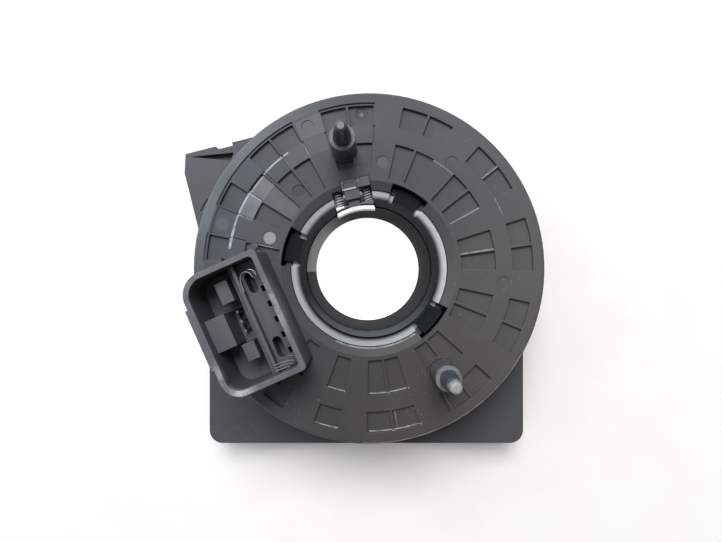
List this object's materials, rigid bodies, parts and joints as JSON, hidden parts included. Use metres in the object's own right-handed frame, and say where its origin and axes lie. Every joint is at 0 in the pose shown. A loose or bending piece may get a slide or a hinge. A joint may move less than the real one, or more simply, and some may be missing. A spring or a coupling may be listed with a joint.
{
  "type": "steering clock spring",
  "caption": "Round steering clock spring: a pocketed rotor disc with a column bore, two guide pins and a wheel connector, over a square-footed steering-angle sensor base.",
  "frame": {"origin": "on the steering column axis, in the plane of the back cover's rear face", "axes": "+Z along the column axis from the back cover to the rotor's front face, towards the driver; +Y towards the lock latch's side, away from the base's square foot; +X to the driver's right when looking at the front face"},
  "size_m": [0.1163, 0.114, 0.0714],
  "materials": {
    "black_plastic": "moulded black plastic, satin",
    "connector_plastic": "moulded black plastic, matte",
    "natural_acetal": "natural off-white acetal",
    "dark_acetal": "dark grey acetal",
    "steel": "plain steel",
    "tinned_contact": "tinned brass",
    "circuit_board": "green solder resist",
    "chip_black": "moulded chip package",
    "magnet": "sintered magnet",
    "cable_film": "laminated polyester ribbon"
  },
  "bodies": {
    "base": {"stator_housing": "black_plastic", "back_cover": "black_plastic", "cover_screws": "steel", "sensor_board": "circuit_board", "light_barrier_fine": "chip_black", "light_barrier_coarse": "chip_black", "controller_chip": "chip_black", "hall_sensor": "chip_black", "counter_axle": "steel", "column_connector_pins": "tinned_contact", "column_connector_header": "connector_plastic", "outer_cable_terminal": "connector_plastic", "outer_terminal_pins": "tinned_contact"},
    "rotor": {"rotor_disc": "black_plastic", "guide_pin_upper": "dark_acetal", "guide_pin_lower": "dark_acetal", "hub_sleeve": "black_plastic", "slide_ring": "natural_acetal", "code_ring": "connector_plastic", "wheel_connector_housing": "connector_plastic", "wheel_connector_insert": "connector_plastic", "wheel_contact_pins": "tinned_contact", "inner_cable_terminal": "connector_plastic", "flat_cable": "cable_film", "latch_retainer": "connector_plastic", "latch_spring_left": "steel", "latch_spring_right": "steel"},
    "latch": {"lock_latch": "natural_acetal"},
    "counter": {"counter_gear": "natural_acetal", "counter_magnet": "magnet"}
  },
  "joints": [
    {"name": "rotor_spin", "type": "hinge", "parent": "base", "child": "rotor", "pos_m": [0, 0, 0.02], "axis": [0, 0, 1], "range_deg": [-900, 900], "deforming": ["flat_cable"]},
    {"name": "counter_spin", "type": "hinge", "parent": "base", "child": "counter", "pos_m": [0.02263, -0.02263, 0.008], "axis": [0, 0, 1], "range_deg": [-2705, 2705]},
    {"name": "latch_slide", "type": "slide", "parent": "rotor", "child": "latch", "axis": [-0.2198, 0.9755, 0], "range_m": [0, 0.002], "stiffness_N_per_m": 60, "springref_m": -0.002, "deforming": ["latch_spring_left", "latch_spring_right"]}
  ],
  "couplings": [
    {"joint": "counter_spin", "follows": "rotor_spin", "ratio": -3}
  ]
}
